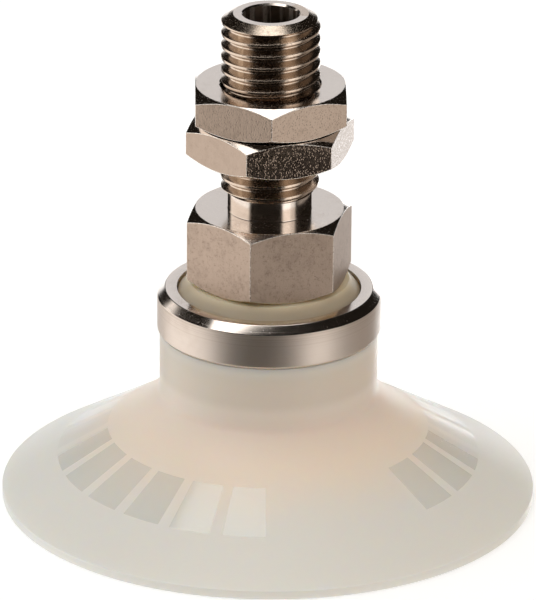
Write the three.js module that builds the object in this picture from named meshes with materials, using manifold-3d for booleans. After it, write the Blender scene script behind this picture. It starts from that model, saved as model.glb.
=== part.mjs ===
// Vacuum suction cup: a soft silicone bell on a hollow threaded fitting with a hexagon, a metal band
// that clamps the silicone neck onto an inner bush, and two thin jam nuts that hold a bracket.
// Units are millimetres and +Z is up. The origin is the centre of the circle that the lip seals on.

import * as THREE from 'three';
import { mergeVertices } from 'three/addons/utils/BufferGeometryUtils.js';
import Module from 'manifold-3d';

const wasm = await Module();
wasm.setup();

// ---- Driving dimensions -------------------------------------------------------------------------

// Silicone bell and neck
const LIP_RADIUS = 21.6;
const LIP_HEIGHT = 0.7; // the upright edge of the lip
const LIP_LAND = 0.6; // flat ring on the underside that seals
const LIP_EDGE = 0.18; // small chamfers on the lip
const CONE_ANGLE = 30.4; // slope of the outside of the bell, in degrees
const BELL_TAPER = 1.5; // the inside is this much flatter, so the wall thins towards the lip
const FLARE_WIDTH = 4.0; // the slope steepens over this width beside the neck
const FLARE_RADIUS = 19;
const NECK_WALL = 2.25; // silicone outside the bush, below the clamp band
const NECK_HEIGHT = 5.2; // from the bell to the shoulder that the clamp band stands on
const FLOOR_THICKNESS = 2.1; // silicone under the bush
const FLOOR_HOLE_RADIUS = 3.3;
const BOSS_RADIUS = 4.9; // raised ring round the suction hole
const BOSS_DEPTH = 0.6;
const CEILING_BLEND = 1.2; // chamfer between the ceiling and the slope inside the bell
const COLLAR_WALL = 0.8; // silicone squeezed between the bush and the clamp band
const COLLAR_TOP_THICKNESS = 1.0; // silicone squeezed between the bush and the hexagon
const COLLAR_SETBACK = 0.3; // the collar turns inwards this far below the top of the band
const COLLAR_HOLE_GAP = 0.2; // between the collar and the spigot

// Clamp band round the neck
const BAND_WALL = 1.6;
const BAND_HEIGHT = 3.58;
const BAND_BEVEL = 0.63;
const BAND_EDGE = 0.2;
const HEX_STANDOFF = 0.8; // from the top of the band to the hexagon

// Metal bush inside the neck
const BUSH_WALL = 2.45;
const BUSH_HEIGHT = 7.5;
const BUSH_GROOVE_DEPTH = 0.5;
const BUSH_GROOVE_WIDTH = 1.0;
const BUSH_GROOVE_HEIGHTS = [1.6, 4.9]; // above the lower face of the bush

// Threaded fitting
const THREAD_RADIUS = 3.95; // metric M8 x 1, measured over the crests
const THREAD_PITCH = 1.0;
const THREAD_DEPTH = 0.56;
const STUD_LENGTH = 16.5; // from the hexagon to the end of the stud
const STUD_CHAMFER = 0.95;
const STUD_CHAMFER_HEIGHT = 0.5;
const RELIEF_LENGTH = 1.55; // plain neck between the hexagon and the thread
const HEX_FLATS = 12;
const HEX_HEIGHT = 6.0;
const HEX_TURN = -12.5; // degrees that a corner stands to the right of the front
const BORE_RADIUS = 2.2;
const BORE_CHAMFER = 0.14;
const SPIGOT_WALL = 1.0; // outside the filter
const SPIGOT_SETBACK = 1.2; // the spigot ends this far above the lower face of the bush

// Seal in the spigot
const SEAL_HEIGHT_ABOVE_SPIGOT_END = 4.4;
const SEAL_WIDTH = 1.0;
const SEAL_GROOVE_DEPTH = 0.9;

// Filter in the lower end of the spigot
const FILTER_RADIUS = 2.95;
const FILTER_THICKNESS = 0.65;
const FILTER_HOLE_RADIUS = 0.4;
const FILTER_HOLE_CIRCLE = 1.25;
const FILTER_HOLE_COUNT = 6;
const SNAP_RING_WIDTH = 0.6;
const SNAP_RING_DEPTH = 0.25; // how far it springs into its groove
const SNAP_RING_INNER_RADIUS = 2.35;
const SNAP_RING_OPENING = 1.4;
const SNAP_RING_INSET = 0.6; // from the end of the spigot to the groove

// Jam nuts
const NUT_FLATS = 12;
const NUT_THICKNESS = 2.95;
const NUT_RISE = 4.6; // from the top of the hexagon to the lower nut
const NUT_SPACING = 0.1; // between the nuts
const UPPER_NUT_TURN = 1.1;
const LOWER_NUT_TURN = -15.4;
const NUT_COUNTERSINK = 0.12;

// Shared
const HEX_CHAMFER_ANGLE = 30;
const HEX_CHAMFER_SHARE = 0.99; // face circle as a share of the width across flats
const FIT_GAP = 0.05; // between pieces that are pressed or squeezed together
const THREAD_GAP = 0.07; // between the thread crests and a nut's bore
const JOIN_DEPTH = 0.5; // how far shapes reach into each other where they become one piece
const ROUND = 36; // segments round a small turned piece
const ROUND_LARGE = 60; // segments round the bell and the band
const THREAD_STEPS = 16; // steps in one turn of the thread

// ---- Places worked out from the dimensions --------------------------------------------------------

const radians = THREE.MathUtils.degToRad;
const coneSlope = Math.tan(radians(CONE_ANGLE));
const bellSlope = Math.tan(radians(CONE_ANGLE - BELL_TAPER));

// Radii grow outwards from the filter: spigot, bush, silicone, clamp band.
const counterboreRadius = FILTER_RADIUS + FIT_GAP;
const spigotRadius = counterboreRadius + SPIGOT_WALL;
const bushRadius = spigotRadius + FIT_GAP + BUSH_WALL;
const neckRadius = bushRadius + FIT_GAP + NECK_WALL;
const collarRadius = bushRadius + FIT_GAP + COLLAR_WALL;
const bandInner = collarRadius + FIT_GAP;
const bandRadius = bandInner + BAND_WALL;
const threadRoot = THREAD_RADIUS - THREAD_DEPTH;

// The outer slope leaves the lip and meets the arc beside the neck.
const flareStart = {
  r: neckRadius + FLARE_WIDTH,
  z: LIP_HEIGHT + (LIP_RADIUS - neckRadius - FLARE_WIDTH) * coneSlope,
};
const flareCentre = {
  r: flareStart.r + FLARE_RADIUS * Math.sin(radians(CONE_ANGLE)),
  z: flareStart.z + FLARE_RADIUS * Math.cos(radians(CONE_ANGLE)),
};
const flareEndAngle = Math.asin((flareCentre.r - neckRadius) / FLARE_RADIUS);

// Heights grow upwards from the bell: neck, clamp band, hexagon, stud.
const neckBottom = flareCentre.z - FLARE_RADIUS * Math.cos(flareEndAngle);
const neckTop = neckBottom + NECK_HEIGHT;
const bandBottom = neckTop + FIT_GAP;
const bandTop = bandBottom + BAND_HEIGHT;
const hexBottom = bandTop + HEX_STANDOFF;
const hexTop = hexBottom + HEX_HEIGHT;
const studTop = hexTop + STUD_LENGTH;
const bushTop = hexBottom - FIT_GAP - COLLAR_TOP_THICKNESS - FIT_GAP;
const bushBottom = bushTop - BUSH_HEIGHT;
const spigotEnd = bushBottom + SPIGOT_SETBACK;
const threadBottom = hexTop + RELIEF_LENGTH;
const lowerNutBottom = hexTop + NUT_RISE;
const upperNutBottom = lowerNutBottom + NUT_THICKNESS + NUT_SPACING;
const snapGrooveBottom = spigotEnd + SNAP_RING_INSET;
const snapGrooveTop = snapGrooveBottom + SNAP_RING_WIDTH + 2 * FIT_GAP;
const filterBottom = snapGrooveTop;
const sealMiddle = spigotEnd + SEAL_HEIGHT_ABOVE_SPIGOT_END;

// ---- Helpers ------------------------------------------------------------------------------------------

// A closed three.js geometry as a solid that can be cut and joined.
function toSolid(geometry) {
  const bare = geometry.clone();
  bare.deleteAttribute('normal');
  bare.deleteAttribute('uv');
  const merged = mergeVertices(bare, 1e-5);
  const corners = merged.index.array;
  const kept = [];
  for (let i = 0; i < corners.length; i += 3) {
    const [a, b, c] = [corners[i], corners[i + 1], corners[i + 2]];
    if (a !== b && b !== c && c !== a) {
      kept.push(a, b, c);
    }
  }
  return new wasm.Manifold(new wasm.Mesh({
    numProp: 3,
    vertProperties: new Float32Array(merged.attributes.position.array),
    triVerts: new Uint32Array(kept),
  }));
}

function toGeometry(solid) {
  const { vertProperties, triVerts } = solid.getMesh();
  const geometry = new THREE.BufferGeometry();
  geometry.setAttribute('position', new THREE.BufferAttribute(vertProperties, 3));
  geometry.setIndex(new THREE.BufferAttribute(triVerts, 1));
  geometry.computeVertexNormals();
  return geometry;
}

// A solid turned about Z. The outline runs up the outside and down the inside.
function turned(outline, segments = ROUND) {
  const points = outline.map(([r, z]) => new THREE.Vector2(r, z));
  const geometry = new THREE.LatheGeometry(points, segments);
  geometry.rotateX(Math.PI / 2);
  return toSolid(geometry);
}

// The same, for an outline that goes once round a hole in the middle.
function turnedRing(outline, segments = ROUND) {
  return turned([...outline, outline[0]], segments);
}

function arcPoints(centre, radius, from, to, steps) {
  const points = [];
  for (let i = 0; i <= steps; i += 1) {
    const angle = from + ((to - from) * i) / steps;
    points.push([centre.r - radius * Math.sin(angle), centre.z - radius * Math.cos(angle)]);
  }
  return points;
}

// A hexagonal bar whose corners are taken off by a cone at both ends.
function hexagon(flats, bottom, height, turnDegrees) {
  const corner = flats / Math.sqrt(3);
  const face = (flats / 2) * HEX_CHAMFER_SHARE;
  const reach = corner * 1.05;
  const drop = (reach - face) * Math.tan(radians(HEX_CHAMFER_ANGLE));
  const bar = new THREE.CylinderGeometry(corner, corner, height, 6);
  bar.rotateX(Math.PI / 2);
  bar.rotateZ(radians(turnDegrees));
  bar.translate(0, 0, bottom + height / 2);
  const cones = turned([
    [0, bottom],
    [face, bottom],
    [reach, bottom + drop],
    [reach, bottom + height - drop],
    [face, bottom + height],
    [0, bottom + height],
  ]);
  return toSolid(bar).intersect(cones);
}

// A right-hand helix whose section keeps facing straight out from the axis.
class ThreadHelix extends THREE.Curve {
  constructor(radius, pitch, bottom, turns) {
    super();
    this.radius = radius;
    this.pitch = pitch;
    this.bottom = bottom;
    this.turns = turns;
  }

  getPoint(t, target = new THREE.Vector3()) {
    const angle = t * this.turns * 2 * Math.PI;
    const height = this.bottom + t * this.turns * this.pitch;
    return target.set(this.radius * Math.cos(angle), this.radius * Math.sin(angle), height);
  }

  getPointAt(t, target) {
    return this.getPoint(t, target);
  }

  computeFrenetFrames(segments) {
    const frames = { tangents: [], normals: [], binormals: [] };
    for (let i = 0; i <= segments; i += 1) {
      const angle = (i / segments) * this.turns * 2 * Math.PI;
      frames.tangents.push(new THREE.Vector3(-Math.sin(angle), Math.cos(angle), 0));
      frames.normals.push(new THREE.Vector3(Math.cos(angle), Math.sin(angle), 0));
      frames.binormals.push(new THREE.Vector3(0, 0, -1));
    }
    return frames;
  }
}

// The ridge of the thread, longer than the thread at both ends so that it can be trimmed.
function threadRidge(bottom, top) {
  const start = Math.floor(bottom / THREAD_PITCH) * THREAD_PITCH - THREAD_PITCH;
  const turns = Math.ceil((top - start) / THREAD_PITCH) + 1;
  const foot = 0.43 * THREAD_PITCH;
  const crest = 0.07 * THREAD_PITCH;
  const sunk = -0.25 * THREAD_DEPTH;
  const section = new THREE.Shape([
    new THREE.Vector2(sunk, -foot),
    new THREE.Vector2(0, -foot),
    new THREE.Vector2(THREAD_DEPTH, -crest),
    new THREE.Vector2(THREAD_DEPTH, crest),
    new THREE.Vector2(0, foot),
    new THREE.Vector2(sunk, foot),
  ]);
  const geometry = new THREE.ExtrudeGeometry(section, {
    steps: turns * THREAD_STEPS,
    extrudePath: new ThreadHelix(threadRoot, THREAD_PITCH, start, turns),
  });
  return toSolid(geometry);
}

// ---- Pieces -----------------------------------------------------------------------------------------------

function threadedStud() {
  const sunkInHex = hexTop - JOIN_DEPTH;
  const core = turned([
    [0, sunkInHex],
    [threadRoot, sunkInHex],
    [threadRoot, studTop],
    [0, studTop],
  ], THREAD_STEPS * 2);
  const crest = THREAD_RADIUS + 0.1;
  const chamferShare = STUD_CHAMFER_HEIGHT / STUD_CHAMFER;
  const envelope = turned([
    [0, sunkInHex],
    [threadRoot + 0.01, sunkInHex],
    [threadRoot + 0.01, threadBottom],
    [crest, threadBottom + THREAD_DEPTH],
    [crest, studTop - STUD_CHAMFER_HEIGHT - 0.1 * chamferShare],
    [THREAD_RADIUS - STUD_CHAMFER, studTop],
    [0, studTop],
  ]);
  return core.add(threadRidge(threadBottom, studTop)).intersect(envelope);
}

function fittingBore() {
  const below = spigotEnd - 1;
  const grooveRadius = counterboreRadius + SNAP_RING_DEPTH + FIT_GAP;
  const counterboreTop = filterBottom + FILTER_THICKNESS + FIT_GAP;
  return turned([
    [0, below],
    [counterboreRadius, below],
    [counterboreRadius, snapGrooveBottom],
    [grooveRadius, snapGrooveBottom],
    [grooveRadius, snapGrooveTop],
    [counterboreRadius, snapGrooveTop],
    [counterboreRadius, counterboreTop],
    [BORE_RADIUS, counterboreTop],
    [BORE_RADIUS, studTop - BORE_CHAMFER],
    [BORE_RADIUS + 2 * BORE_CHAMFER, studTop + BORE_CHAMFER],
    [0, studTop + BORE_CHAMFER],
  ]);
}

function threadedFitting() {
  const sunkInHex = hexBottom + JOIN_DEPTH;
  const grooveFloor = spigotRadius - SEAL_GROOVE_DEPTH;
  const grooveHalf = SEAL_WIDTH / 2 + FIT_GAP;
  const spigot = turned([
    [0, spigotEnd],
    [spigotRadius, spigotEnd],
    [spigotRadius, sealMiddle - grooveHalf],
    [grooveFloor, sealMiddle - grooveHalf],
    [grooveFloor, sealMiddle + grooveHalf],
    [spigotRadius, sealMiddle + grooveHalf],
    [spigotRadius, sunkInHex],
    [0, sunkInHex],
  ]);
  return hexagon(HEX_FLATS, hexBottom, HEX_HEIGHT, HEX_TURN)
    .add(spigot)
    .add(threadedStud())
    .subtract(fittingBore());
}

function jamNut(bottom, turnDegrees) {
  const top = bottom + NUT_THICKNESS;
  const bore = THREAD_RADIUS + THREAD_GAP;
  const hole = turned([
    [0, bottom - NUT_COUNTERSINK],
    [bore + 2 * NUT_COUNTERSINK, bottom - NUT_COUNTERSINK],
    [bore, bottom + NUT_COUNTERSINK],
    [bore, top - NUT_COUNTERSINK],
    [bore + 2 * NUT_COUNTERSINK, top + NUT_COUNTERSINK],
    [0, top + NUT_COUNTERSINK],
  ]);
  return hexagon(NUT_FLATS, bottom, NUT_THICKNESS, turnDegrees).subtract(hole);
}

function clampBand() {
  return turnedRing([
    [bandInner, bandBottom],
    [bandRadius - BAND_EDGE, bandBottom],
    [bandRadius, bandBottom + BAND_EDGE],
    [bandRadius, bandTop - BAND_BEVEL],
    [bandRadius - BAND_BEVEL, bandTop],
    [bandInner, bandTop],
  ], ROUND_LARGE);
}

// The outside of the bush from bottom to top, moved out by a gap for the silicone that grips it.
function bushOutside(gap) {
  const points = [[bushRadius + gap, bushBottom - gap]];
  const floor = bushRadius - BUSH_GROOVE_DEPTH + gap;
  for (const height of BUSH_GROOVE_HEIGHTS) {
    const low = bushBottom + height;
    const high = low + BUSH_GROOVE_WIDTH;
    points.push([bushRadius + gap, low + gap]);
    points.push([floor, low + gap]);
    points.push([floor, high - gap]);
    points.push([bushRadius + gap, high - gap]);
  }
  points.push([bushRadius + gap, bushTop + gap]);
  return points;
}

function neckBush() {
  const bore = spigotRadius + FIT_GAP;
  return turnedRing([
    [bore, bushBottom],
    ...bushOutside(0),
    [bore, bushTop],
  ], ROUND_LARGE);
}

function sealRing() {
  const inner = spigotRadius - SEAL_GROOVE_DEPTH + FIT_GAP / 2;
  const middle = (inner + spigotRadius) / 2;
  const outline = new THREE.EllipseCurve(middle, sealMiddle, middle - inner, SEAL_WIDTH / 2)
    .getPoints(8)
    .slice(0, -1)
    .map((point) => [point.x, point.y]);
  return turnedRing(outline);
}

function filterDisc() {
  const top = filterBottom + FILTER_THICKNESS;
  let disc = turned([
    [0, filterBottom],
    [FILTER_RADIUS, filterBottom],
    [FILTER_RADIUS, top],
    [0, top],
  ]);
  const drill = new THREE.CylinderGeometry(FILTER_HOLE_RADIUS, FILTER_HOLE_RADIUS, FILTER_THICKNESS * 3, 12);
  drill.rotateX(Math.PI / 2);
  drill.translate(0, 0, filterBottom);
  disc = disc.subtract(toSolid(drill));
  for (let i = 0; i < FILTER_HOLE_COUNT; i += 1) {
    const angle = (i / FILTER_HOLE_COUNT) * 2 * Math.PI;
    const hole = drill.clone();
    hole.translate(FILTER_HOLE_CIRCLE * Math.cos(angle), FILTER_HOLE_CIRCLE * Math.sin(angle), 0);
    disc = disc.subtract(toSolid(hole));
  }
  return disc;
}

function filterSnapRing() {
  const bottom = snapGrooveBottom + FIT_GAP;
  const outer = counterboreRadius + SNAP_RING_DEPTH;
  const ring = turnedRing([
    [SNAP_RING_INNER_RADIUS, bottom],
    [outer, bottom],
    [outer, bottom + SNAP_RING_WIDTH],
    [SNAP_RING_INNER_RADIUS, bottom + SNAP_RING_WIDTH],
  ]);
  const slot = new THREE.BoxGeometry(2 * outer, SNAP_RING_OPENING, SNAP_RING_WIDTH * 3);
  slot.translate(outer, 0, bottom);
  return ring.subtract(toSolid(slot));
}

function suctionCup() {
  const lipInner = LIP_RADIUS - LIP_EDGE - LIP_LAND;
  const ceiling = bushBottom - FIT_GAP - FLOOR_THICKNESS;
  const ceilingCorner = lipInner - ceiling / bellSlope;
  const collarTop = hexBottom - FIT_GAP;
  const collarHole = spigotRadius + COLLAR_HOLE_GAP;
  return turnedRing([
    [lipInner, 0],
    [LIP_RADIUS - LIP_EDGE, 0],
    [LIP_RADIUS, LIP_EDGE],
    [LIP_RADIUS, LIP_HEIGHT - LIP_EDGE],
    [LIP_RADIUS - LIP_EDGE, LIP_HEIGHT + LIP_EDGE * coneSlope],
    ...arcPoints(flareCentre, FLARE_RADIUS, radians(CONE_ANGLE), flareEndAngle, 5),
    [neckRadius, neckTop],
    [collarRadius, neckTop],
    [collarRadius, bandTop - COLLAR_SETBACK],
    [bushRadius - FIT_GAP, collarTop],
    [collarHole, collarTop],
    [collarHole, bushTop + FIT_GAP],
    ...bushOutside(FIT_GAP).reverse(),
    [FLOOR_HOLE_RADIUS, bushBottom - FIT_GAP],
    [FLOOR_HOLE_RADIUS, ceiling - BOSS_DEPTH],
    [BOSS_RADIUS, ceiling - BOSS_DEPTH],
    [BOSS_RADIUS, ceiling],
    [ceilingCorner - CEILING_BLEND / 2, ceiling],
    [ceilingCorner + CEILING_BLEND / 2, ceiling - (CEILING_BLEND / 2) * bellSlope],
  ], ROUND_LARGE);
}

// ---- Materials and assembly ---------------------------------------------------------------------------------

function nickelBrass() {
  return new THREE.MeshStandardMaterial({ color: 0xb3a59c, roughness: 0.32, metalness: 1 });
}

function siliconeMilky() {
  return new THREE.MeshStandardMaterial({ color: 0xd9cfc0, roughness: 0.55, metalness: 0 });
}

function darkRubber() {
  return new THREE.MeshStandardMaterial({ color: 0x26262a, roughness: 0.7, metalness: 0 });
}

function sinteredBronze() {
  return new THREE.MeshStandardMaterial({ color: 0xa9784a, roughness: 0.6, metalness: 1 });
}

function springSteel() {
  return new THREE.MeshStandardMaterial({ color: 0x8e9094, roughness: 0.35, metalness: 1 });
}

function piece(name, solid, material) {
  const mesh = new THREE.Mesh(toGeometry(solid), material);
  mesh.name = name;
  return mesh;
}

const assembly = new THREE.Group();
assembly.add(
  piece('suction_cup', suctionCup(), siliconeMilky()),
  piece('clamp_band', clampBand(), nickelBrass()),
  piece('neck_bush', neckBush(), nickelBrass()),
  piece('threaded_fitting', threadedFitting(), nickelBrass()),
  piece('seal_ring', sealRing(), darkRubber()),
  piece('filter_disc', filterDisc(), sinteredBronze()),
  piece('filter_snap_ring', filterSnapRing(), springSteel()),
  piece('lower_jam_nut', jamNut(lowerNutBottom, LOWER_NUT_TURN), nickelBrass()),
  piece('upper_jam_nut', jamNut(upperNutBottom, UPPER_NUT_TURN), nickelBrass()),
);

export default assembly;
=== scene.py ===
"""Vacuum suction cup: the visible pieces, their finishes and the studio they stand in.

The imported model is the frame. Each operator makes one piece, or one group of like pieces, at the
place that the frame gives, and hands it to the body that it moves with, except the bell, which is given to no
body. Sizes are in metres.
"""

from functools import partial
from math import asin, atan2, cos, pi, radians, sin, sqrt, tan

import bpy
from bpy.props import FloatProperty, FloatVectorProperty, IntProperty, PointerProperty
from mathutils import Euler, Matrix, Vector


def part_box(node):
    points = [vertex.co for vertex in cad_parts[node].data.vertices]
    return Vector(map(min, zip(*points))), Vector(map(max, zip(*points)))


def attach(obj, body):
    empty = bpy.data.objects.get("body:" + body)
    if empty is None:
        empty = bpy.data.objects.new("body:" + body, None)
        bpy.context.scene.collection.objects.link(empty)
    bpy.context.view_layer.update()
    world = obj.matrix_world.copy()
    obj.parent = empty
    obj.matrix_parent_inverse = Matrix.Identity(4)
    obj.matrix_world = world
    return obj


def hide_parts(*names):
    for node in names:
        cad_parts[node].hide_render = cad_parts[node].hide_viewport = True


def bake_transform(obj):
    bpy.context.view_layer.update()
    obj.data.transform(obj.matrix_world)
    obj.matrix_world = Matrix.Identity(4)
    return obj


bl_info = {
    "name": "Vacuum suction cup",
    "version": (1, 0, 0),
    "blender": (4, 5, 0),
    "location": "View3D > Sidebar > Suction cup",
    "description": "A silicone suction cup on a hollow threaded fitting, with two jam nuts",
    "category": "Add Mesh",
}

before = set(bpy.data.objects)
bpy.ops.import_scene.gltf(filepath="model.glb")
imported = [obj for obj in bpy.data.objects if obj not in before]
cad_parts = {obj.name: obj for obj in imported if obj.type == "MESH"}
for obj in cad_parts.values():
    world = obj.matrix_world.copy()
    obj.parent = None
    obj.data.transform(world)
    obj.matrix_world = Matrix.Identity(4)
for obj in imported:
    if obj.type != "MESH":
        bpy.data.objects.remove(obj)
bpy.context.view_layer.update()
MM = 0.001
GAP = 0.05 * MM  # between pieces that are pressed or squeezed together
SEAL_GROOVE = 0.9 * MM


# ---- Sizes that come from the frame --------------------------------------


def top_of(node):
    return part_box(node)[1].z


def bottom_of(node):
    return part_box(node)[0].z


def radius_of(node):
    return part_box(node)[1].y


LIP_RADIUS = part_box("suction_cup")[1].x
COLLAR_TOP = top_of("suction_cup")
BAND_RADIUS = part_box("clamp_band")[1].x
BAND_BOTTOM, BAND_TOP = bottom_of("clamp_band"), top_of("clamp_band")
BUSH_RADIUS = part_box("neck_bush")[1].x
BUSH_BOTTOM, BUSH_TOP = bottom_of("neck_bush"), top_of("neck_bush")
SPIGOT_END, STUD_TOP = bottom_of("threaded_fitting"), top_of("threaded_fitting")
FILTER_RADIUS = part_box("filter_disc")[1].x
SEAL_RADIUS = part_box("seal_ring")[1].x


# ---- Properties ----------------------------------------------------------


def length(name, text, value):
    return FloatProperty(name=name, description=text, default=value, min=0.0, precision=5, unit="LENGTH")


def turn(name, text, degrees):
    return FloatProperty(name=name, description=text, default=radians(degrees), subtype="ANGLE")


def colour(name, text, value):
    return FloatVectorProperty(name=name, description=text, default=value, min=0.0, max=1.0, subtype="COLOR")


class BellSizes(bpy.types.PropertyGroup):
    """Sizes of the silicone bell and neck"""

    lip_height: length("Lip height", "Height of the upright edge of the lip", 0.7 * MM)
    lip_land: length("Lip land", "Width of the flat ring that seals", 0.78 * MM)
    cone_angle: turn("Cone angle", "Slope of the outside of the bell", 30.4)
    taper: turn("Taper", "How much flatter the inside of the bell is", 1.5)
    flare_width: length("Flare width", "Width over which the slope steepens beside the neck", 4 * MM)
    flare_radius: length("Flare radius", "Radius of the curve beside the neck", 19 * MM)
    fillet: length("Fillet", "Radius where the bell runs into the neck", 1.1 * MM)
    neck_wall: length("Neck wall", "Silicone outside the bush", 2.3 * MM)
    collar_wall: length("Collar wall", "Silicone between the bush and the clamp band", 0.85 * MM)
    floor_thickness: length("Floor", "Silicone under the bush", 2.1 * MM)
    hole_radius: length("Hole radius", "Radius of the suction hole in the floor", 3.3 * MM)
    boss_radius: length("Boss radius", "Radius of the raised ring round the hole", 4.9 * MM)
    boss_depth: length("Boss depth", "How far the raised ring stands down", 0.6 * MM)
    edge: length("Edge", "Rounding of the silicone's edges", 0.16 * MM)
    pad_count: IntProperty(name="Pads", description="Polished pads that would fit round", default=24, min=3)
    pads_left_out: IntProperty(name="Pads left out", description="Pads left frosted in front", default=3)
    pad_inner: length("Pad inner radius", "Where the polished pads begin", 13.0 * MM)
    pad_outer: length("Pad outer radius", "Where the polished pads end", 17.1 * MM)
    pad_gap: turn("Pad gap", "Frosted strip between two pads", 3.4)
    pad_turn: turn("Pad turn", "Azimuth of the first pad left out", 8.7)


class FittingSizes(bpy.types.PropertyGroup):
    """Sizes of the threaded fitting, the clamp band and the nuts"""

    flats: length("Across flats", "Width of the hexagons across their flats", 12 * MM)
    hex_height: length("Hexagon height", "Height of the fitting's hexagon", 6 * MM)
    hex_standoff: length("Hexagon standoff", "From the clamp band to the hexagon", 0.8 * MM)
    hex_turn: turn("Hexagon turn", "How far the fitting's hexagon is turned", -12.5)
    lower_turn: turn("Lower nut turn", "How far the lower nut is turned", -15.4)
    upper_turn: turn("Upper nut turn", "How far the upper nut is turned", 1.1)
    chamfer: turn("Hexagon chamfer", "Slope that takes off the hexagons' corners", 30)
    thread_radius: length("Thread radius", "Radius over the crests of the thread", 3.95 * MM)
    thread_depth: length("Thread depth", "From crest to root", 0.56 * MM)
    pitch: length("Pitch", "Rise of the thread in one turn", 1 * MM)
    relief: length("Relief", "Plain neck between the hexagon and the thread", 1.55 * MM)
    stud_chamfer: length("Stud chamfer", "How far the end of the stud is taken in", 0.95 * MM)
    stud_chamfer_height: length("Stud chamfer height", "Height of that chamfer", 0.5 * MM)
    bore: length("Bore", "Radius of the air bore", 2.2 * MM)
    spigot: length("Spigot", "Radius of the spigot inside the bush", 4 * MM)
    nut_gap: length("Nut gap", "Between the crests and a nut's bore", 0.05 * MM)
    corner: length("Corner", "Rounding of the hexagons' corners", 0.18 * MM)
    band_wall: length("Band wall", "Thickness of the clamp band", 1.6 * MM)
    band_bevel: length("Band bevel", "Bevel on the band's upper edge", 0.63 * MM)
    around: IntProperty(name="Steps around", description="Steps round a turned piece", default=192, min=24)


class CupFinishes(bpy.types.PropertyGroup):
    """Colours and surface finish"""

    silicone: colour("Silicone, thin", "Colour of the silicone in the skirt", (0.735, 0.735, 0.715))
    silicone_thick: colour("Silicone, thick", "Colour of the thick silicone by the neck", (0.83, 0.735, 0.64))
    silicone_stain_and_light: colour("Silicone, stained_and_lit", "Colour of the collar by the hexagon", (0.86, 0.68, 0.46))
    metal: colour("Plated brass", "Colour of the nickel plating over brass", (0.80, 0.715, 0.645))
    metal_thread: colour("Plated brass, thread", "Colour of the plating on the thread", (0.66, 0.54, 0.44))
    metal_dull: colour("Plated brass, dull", "Colour where the plating is dull", (0.62, 0.52, 0.44))
    satin: colour("Satin flats", "Colour of the pitted flats of the hexagons", (0.41, 0.322, 0.258))
    satin_hexagon: colour("Satin hexagon", "Colour of the fitting's flats", (0.57, 0.45, 0.365))
    satin_dull: colour("Satin flats, dull", "Colour in the pits of the flats", (0.30, 0.225, 0.172))
    silicone_collar_rim: colour("Silicone, darkened", "Colour of the collar by the band", (0.50, 0.40, 0.28))
    rubber: colour("Seal rubber", "Colour of the seal", (0.022, 0.022, 0.026))
    bronze: colour("Sintered bronze", "Colour of the filter", (0.48, 0.28, 0.13))
    steel: colour("Spring steel", "Colour of the snap ring", (0.42, 0.43, 0.45))


class StudioSettings(bpy.types.PropertyGroup):
    """The camera and the light"""

    lens: FloatProperty(name="Lens", description="Focal length of the camera", default=400.8, unit="CAMERA")
    distance: length("Distance", "From the camera to the point that it looks at", 0.53797)
    height: length("Target height", "Height of the point that it looks at", 16.607 * MM)
    elevation: turn("Elevation", "How far the camera looks down", 22.15)
    roll: turn("Roll", "How far the camera leans", 0.402)
    fill: FloatProperty(name="Fill", description="Even light on matt surfaces", default=0.66, min=0)
    glow: FloatProperty(name="Softbox", description="Brightness of the overhead softbox", default=2.4, min=0)


# ---- Modelling steps -----------------------------------------------------


def mode(name):
    if bpy.context.object is not None and bpy.context.object.mode != name:
        bpy.ops.object.mode_set(mode=name)


def mark(action):
    """Selects or deselects the whole mesh in edit mode."""
    bpy.ops.mesh.select_all(action=action)


def weld():
    """Merges what lies on the same spot."""
    mark("SELECT")
    bpy.ops.mesh.remove_doubles(threshold=0.001 * MM)


def pick(*pieces):
    """Selects only these pieces, or nothing, and makes the last one active."""
    mode("OBJECT")
    bpy.ops.object.select_all(action="DESELECT")
    for piece in pieces:
        piece.select_set(True)
        bpy.context.view_layer.objects.active = piece


def new_piece(name):
    """Names the primitive that was just added, with its place in its mesh."""
    piece = bpy.context.object
    piece.name = name
    piece.data.name = name
    bpy.ops.object.transform_apply(location=True, rotation=True, scale=True)
    return piece


def outline_chain(name, outline, closed):
    """One vertex, extruded from point to point along an outline of (radius, height)."""
    pick()
    bpy.ops.mesh.primitive_plane_add(size=MM)
    piece = new_piece(name)
    mode("EDIT")
    mark("SELECT")
    bpy.ops.mesh.merge(type="CENTER")
    bpy.ops.transform.translate(value=(outline[0][0], 0, outline[0][1]))
    stops = outline + outline[:1] if closed else outline
    for (r0, z0), (r1, z1) in zip(stops, stops[1:]):
        bpy.ops.mesh.extrude_vertices_move(TRANSFORM_OT_translate={"value": (r1 - r0, 0, z1 - z0)})
    weld()
    return piece


def turned(name, outline, around, closed=True):
    """A piece turned about Z. A closed outline goes round a hole, and an open one ends on flat faces."""
    mode("OBJECT")
    piece = outline_chain(name, outline, closed)
    mark("SELECT")
    bpy.ops.mesh.spin(steps=around, angle=2 * pi, center=(0, 0, 0), axis=(0, 0, 1))
    weld()
    if not closed:
        mark("DESELECT")
        bpy.ops.mesh.select_non_manifold()
        bpy.ops.mesh.edge_face_add()
        mark("SELECT")
    bpy.ops.mesh.normals_make_consistent(inside=False)
    mode("OBJECT")
    return piece


def finish_modifier(piece, kind, **settings):
    """Adds a modifier, sets it and applies it."""
    pick(piece)
    bpy.ops.object.modifier_add(type=kind)
    modifier = piece.modifiers[-1]
    for key, value in settings.items():
        setattr(modifier, key, value)
    bpy.ops.object.modifier_apply(modifier=modifier.name)


def carve(piece, tool, operation):
    """Joins, cuts or trims a piece with another, which is used up."""
    finish_modifier(piece, "BOOLEAN", object=tool, operation=operation, solver="EXACT")
    bpy.data.objects.remove(tool)


def round_edges(piece, width, steps=3, sharper_than=25):
    finish_modifier(
        piece, "BEVEL", width=width, segments=steps, limit_method="ANGLE",
        angle_limit=radians(sharper_than), miter_outer="MITER_ARC", use_clamp_overlap=True,
    )


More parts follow.
